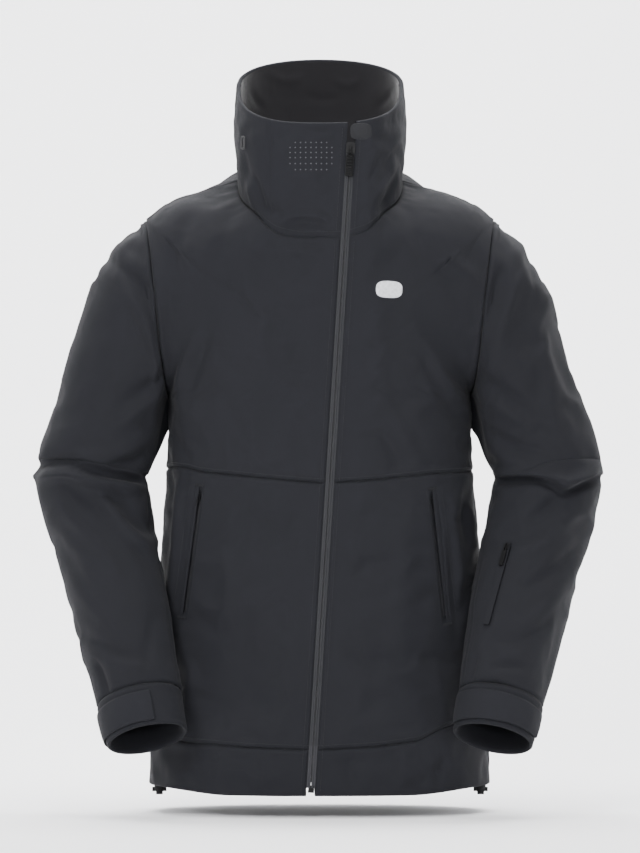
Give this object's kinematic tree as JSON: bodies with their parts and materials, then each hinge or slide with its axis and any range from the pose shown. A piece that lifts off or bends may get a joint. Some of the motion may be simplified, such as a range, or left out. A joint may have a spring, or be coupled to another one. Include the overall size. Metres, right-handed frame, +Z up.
{
  "type": "ski jacket",
  "caption": "Hip-length ski shell jacket with a slanted full front zip, tall stand collar, set-in sleeves with cuff tabs, welt hand pockets and a hem drawcord.",
  "frame": {"origin": "centre of the hem opening, in the plane of the hem's lower edge", "axes": "+Z up from hem to collar, the jacket's front faces -Y, +X is the wearer's left sleeve"},
  "size_m": [0.7036, 0.3349, 0.923],
  "materials": {
    "shell": "matte heathered stretch weave, charcoal",
    "lining": "smooth dark lining",
    "collar_inner": "brushed tricot, dark",
    "tape": "coated reversed zip tape, semi-matte",
    "coil": "black nylon coil",
    "slider_metal": "black painted slider",
    "pull_rubber": "ribbed black rubberised pull",
    "hard_plastic": "black moulded plastic",
    "cord": "black elastic cord",
    "loop_pile": "black loop pile",
    "badge": "pale grey transfer",
    "spring_free": "black plunger"
  },
  "bodies": {
    "root": {"front_panel_left_upper": "shell", "front_panel_left_lower": "shell", "front_panel_right_upper": "shell", "front_panel_right_lower": "shell", "hem_band_left": "shell", "hem_band_right": "shell", "hem_band_back": "shell", "back_panel": "shell", "lining_front_left": "lining", "lining_front_right": "lining", "lining_back": "lining", "collar_front_panel": "shell", "collar_right_panel": "shell", "collar_left_panel": "shell", "collar_back_panel": "shell", "collar_lining": "collar_inner", "collar_cord_loop": "cord", "hanger_loop": "cord", "pocket_welt_left": "shell", "pocket_welt_right": "shell", "pocket_zip_chains": "tape", "pocket_bags": "lining", "hem_drawcord": "cord"},
    "front_left": {"front_facing_left": "shell", "zip_tape_left": "tape", "zip_teeth_left": "coil", "zip_retainer_box": "hard_plastic", "storm_flap": "shell", "zip_garage": "shell", "chest_badge": "badge"},
    "front_right": {"front_facing_right": "shell", "zip_tape_right": "tape", "zip_teeth_right": "coil", "zip_insertion_pin": "hard_plastic"},
    "main_slider": {"main_slider": "slider_metal"},
    "main_puller": {"main_puller": "pull_rubber"},
    "left_upper_sleeve": {"sleeve_upper_left": "shell"},
    "right_upper_sleeve": {"sleeve_upper_right": "shell"},
    "left_lower_sleeve": {"sleeve_lower_left": "shell", "cuff_left": "shell", "cuff_loop_patch_left": "loop_pile", "sleeve_lining_left": "lining", "sleeve_pocket_zip": "tape"},
    "right_lower_sleeve": {"sleeve_lower_right": "shell", "cuff_right": "shell", "cuff_loop_patch_right": "loop_pile", "sleeve_lining_right": "lining"},
    "left_cuff_tab": {"cuff_tab_left": "shell"},
    "right_cuff_tab": {"cuff_tab_right": "shell"},
    "sleeve_pocket_slider": {"sleeve_pocket_slider": "slider_metal"},
    "sleeve_pocket_pull": {"sleeve_pocket_pull": "pull_rubber"},
    "left_pocket_slider": {"pocket_slider_left": "slider_metal"},
    "right_pocket_slider": {"pocket_slider_right": "slider_metal"},
    "left_hem_lock": {"hem_cord_lock_left": "hard_plastic"},
    "right_hem_lock": {"hem_cord_lock_right": "hard_plastic"},
    "left_hem_plunger": {"hem_plunger_left": "spring_free"},
    "right_hem_plunger": {"hem_plunger_right": "spring_free"}
  },
  "joints": [
    {"name": "front_left_open", "type": "hinge", "parent": "root", "child": "front_left", "pos_m": [0.11777, -0.09901, 0.39311], "axis": [0.0623, 0.0419, 0.9972], "range_deg": [0, 60], "deforming": ["front_panel_left_upper", "front_panel_left_lower", "hem_band_left", "collar_left_panel", "collar_lining", "lining_front_left", "pocket_bags"]},
    {"name": "front_right_open", "type": "hinge", "parent": "root", "child": "front_right", "pos_m": [-0.09182, -0.10601, 0.40621], "axis": [0.0623, 0.0419, 0.9972], "range_deg": [-60, 0], "deforming": ["front_panel_right_upper", "front_panel_right_lower", "hem_band_right", "collar_front_panel", "lining_front_right", "zip_tape_right", "zip_teeth_right"]},
    {"name": "main_zip_slide", "type": "slide", "parent": "front_left", "child": "main_slider", "axis": [0.0623, 0.0419, 0.9972], "range_m": [-0.775, 0]},
    {"name": "main_pull_swing", "type": "hinge", "parent": "main_slider", "child": "main_puller", "pos_m": [0.03821, -0.11186, 0.8033], "axis": [-0.9981, 0, 0.0624], "range_deg": [0, 150]},
    {"name": "left_shoulder_lift", "type": "hinge", "parent": "root", "child": "left_upper_sleeve", "pos_m": [0.2, 0.005, 0.6], "axis": [0, -1, 0], "range_deg": [0, 50], "stiffness_Nm_per_rad": 0.3, "deforming": ["sleeve_upper_left", "sleeve_lining_left"]},
    {"name": "right_shoulder_lift", "type": "hinge", "parent": "root", "child": "right_upper_sleeve", "pos_m": [-0.2, 0.005, 0.6], "axis": [0, 1, 0], "range_deg": [0, 50], "stiffness_Nm_per_rad": 0.3, "deforming": ["sleeve_upper_right", "sleeve_lining_right"]},
    {"name": "left_elbow_bend", "type": "hinge", "parent": "left_upper_sleeve", "child": "left_lower_sleeve", "pos_m": [0.285, -0.01, 0.398], "axis": [-1, 0, 0], "range_deg": [0, 60], "stiffness_Nm_per_rad": 0.2},
    {"name": "right_elbow_bend", "type": "hinge", "parent": "right_upper_sleeve", "child": "right_lower_sleeve", "pos_m": [-0.285, -0.01, 0.398], "axis": [-1, 0, 0], "range_deg": [0, 60], "stiffness_Nm_per_rad": 0.2},
    {"name": "left_cuff_tab_peel", "type": "hinge", "parent": "left_lower_sleeve", "child": "left_cuff_tab", "pos_m": [0.16755, -0.15891, 0.10562], "axis": [-0.1964, -0.4553, -0.8684], "range_deg": [0, 70]},
    {"name": "right_cuff_tab_peel", "type": "hinge", "parent": "right_lower_sleeve", "child": "right_cuff_tab", "pos_m": [-0.20678, -0.19001, 0.11305], "axis": [-0.1964, 0.4553, 0.8684], "range_deg": [0, 70]},
    {"name": "sleeve_pocket_slide", "type": "slide", "parent": "left_lower_sleeve", "child": "sleeve_pocket_slider", "axis": [0.2548, 0.3619, 0.8967], "range_m": [-0.098, 0]},
    {"name": "sleeve_pull_swing", "type": "hinge", "parent": "sleeve_pocket_slider", "child": "sleeve_pocket_pull", "pos_m": [0.23113, -0.10512, 0.30688], "axis": [-0.8561, 0.5157, 0.0351], "range_deg": [0, 120]},
    {"name": "left_pocket_slide", "type": "slide", "parent": "root", "child": "left_pocket_slider", "axis": [-0.1101, -0.0097, 0.9939], "range_m": [-0.126, 0]},
    {"name": "right_pocket_slide", "type": "slide", "parent": "root", "child": "right_pocket_slider", "axis": [0.1319, -0.0384, 0.9905], "range_m": [-0.126, 0]},
    {"name": "left_hem_lock_slide", "type": "slide", "parent": "root", "child": "left_hem_lock", "axis": [0, 1, 0], "range_m": [-0.007, 0.003]},
    {"name": "left_hem_plunger_press", "type": "slide", "parent": "left_hem_lock", "child": "left_hem_plunger", "axis": [0, 0, 1], "range_m": [0, 0.0035], "stiffness_N_per_m": 300},
    {"name": "right_hem_lock_slide", "type": "slide", "parent": "root", "child": "right_hem_lock", "axis": [0, 1, 0], "range_m": [-0.007, 0.003]},
    {"name": "right_hem_plunger_press", "type": "slide", "parent": "right_hem_lock", "child": "right_hem_plunger", "axis": [0, 0, 1], "range_m": [0, 0.0035], "stiffness_N_per_m": 300}
  ],
  "couplings": [
    {"joint": "front_left_open", "follows": "main_zip_slide", "rad_per_m": -1.35},
    {"joint": "front_right_open", "follows": "main_zip_slide", "rad_per_m": 1.35}
  ]
}
